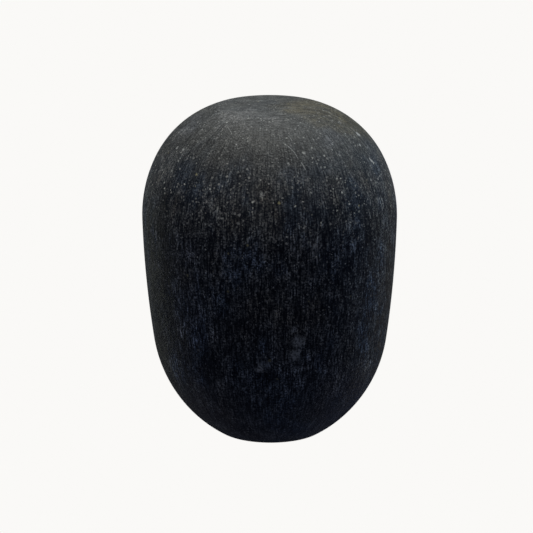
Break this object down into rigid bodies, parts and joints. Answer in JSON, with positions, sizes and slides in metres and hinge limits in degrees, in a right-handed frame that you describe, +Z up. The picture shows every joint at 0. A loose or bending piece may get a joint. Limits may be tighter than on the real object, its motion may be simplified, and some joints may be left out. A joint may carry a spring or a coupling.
{
  "type": "massage stone",
  "caption": "Upright basalt massage stone, round and egg-like with a broad shoulder, a ground foot to stand on and a ground flat top for pressing.",
  "frame": {"origin": "middle of the ground foot, on the surface that the stone stands on", "axes": "+Z up along the stone's axis, from the foot to the wide flat-topped end; the body is round about Z, so X and Y are alike"},
  "size_m": [0.062, 0.062, 0.0811],
  "materials": {
    "honed_basalt": "hand-honed, matt, fine upright grinding lines, small pale mineral grains"
  },
  "bodies": {
    "root": {"basalt_stone": "honed_basalt"}
  },
  "joints": []
}
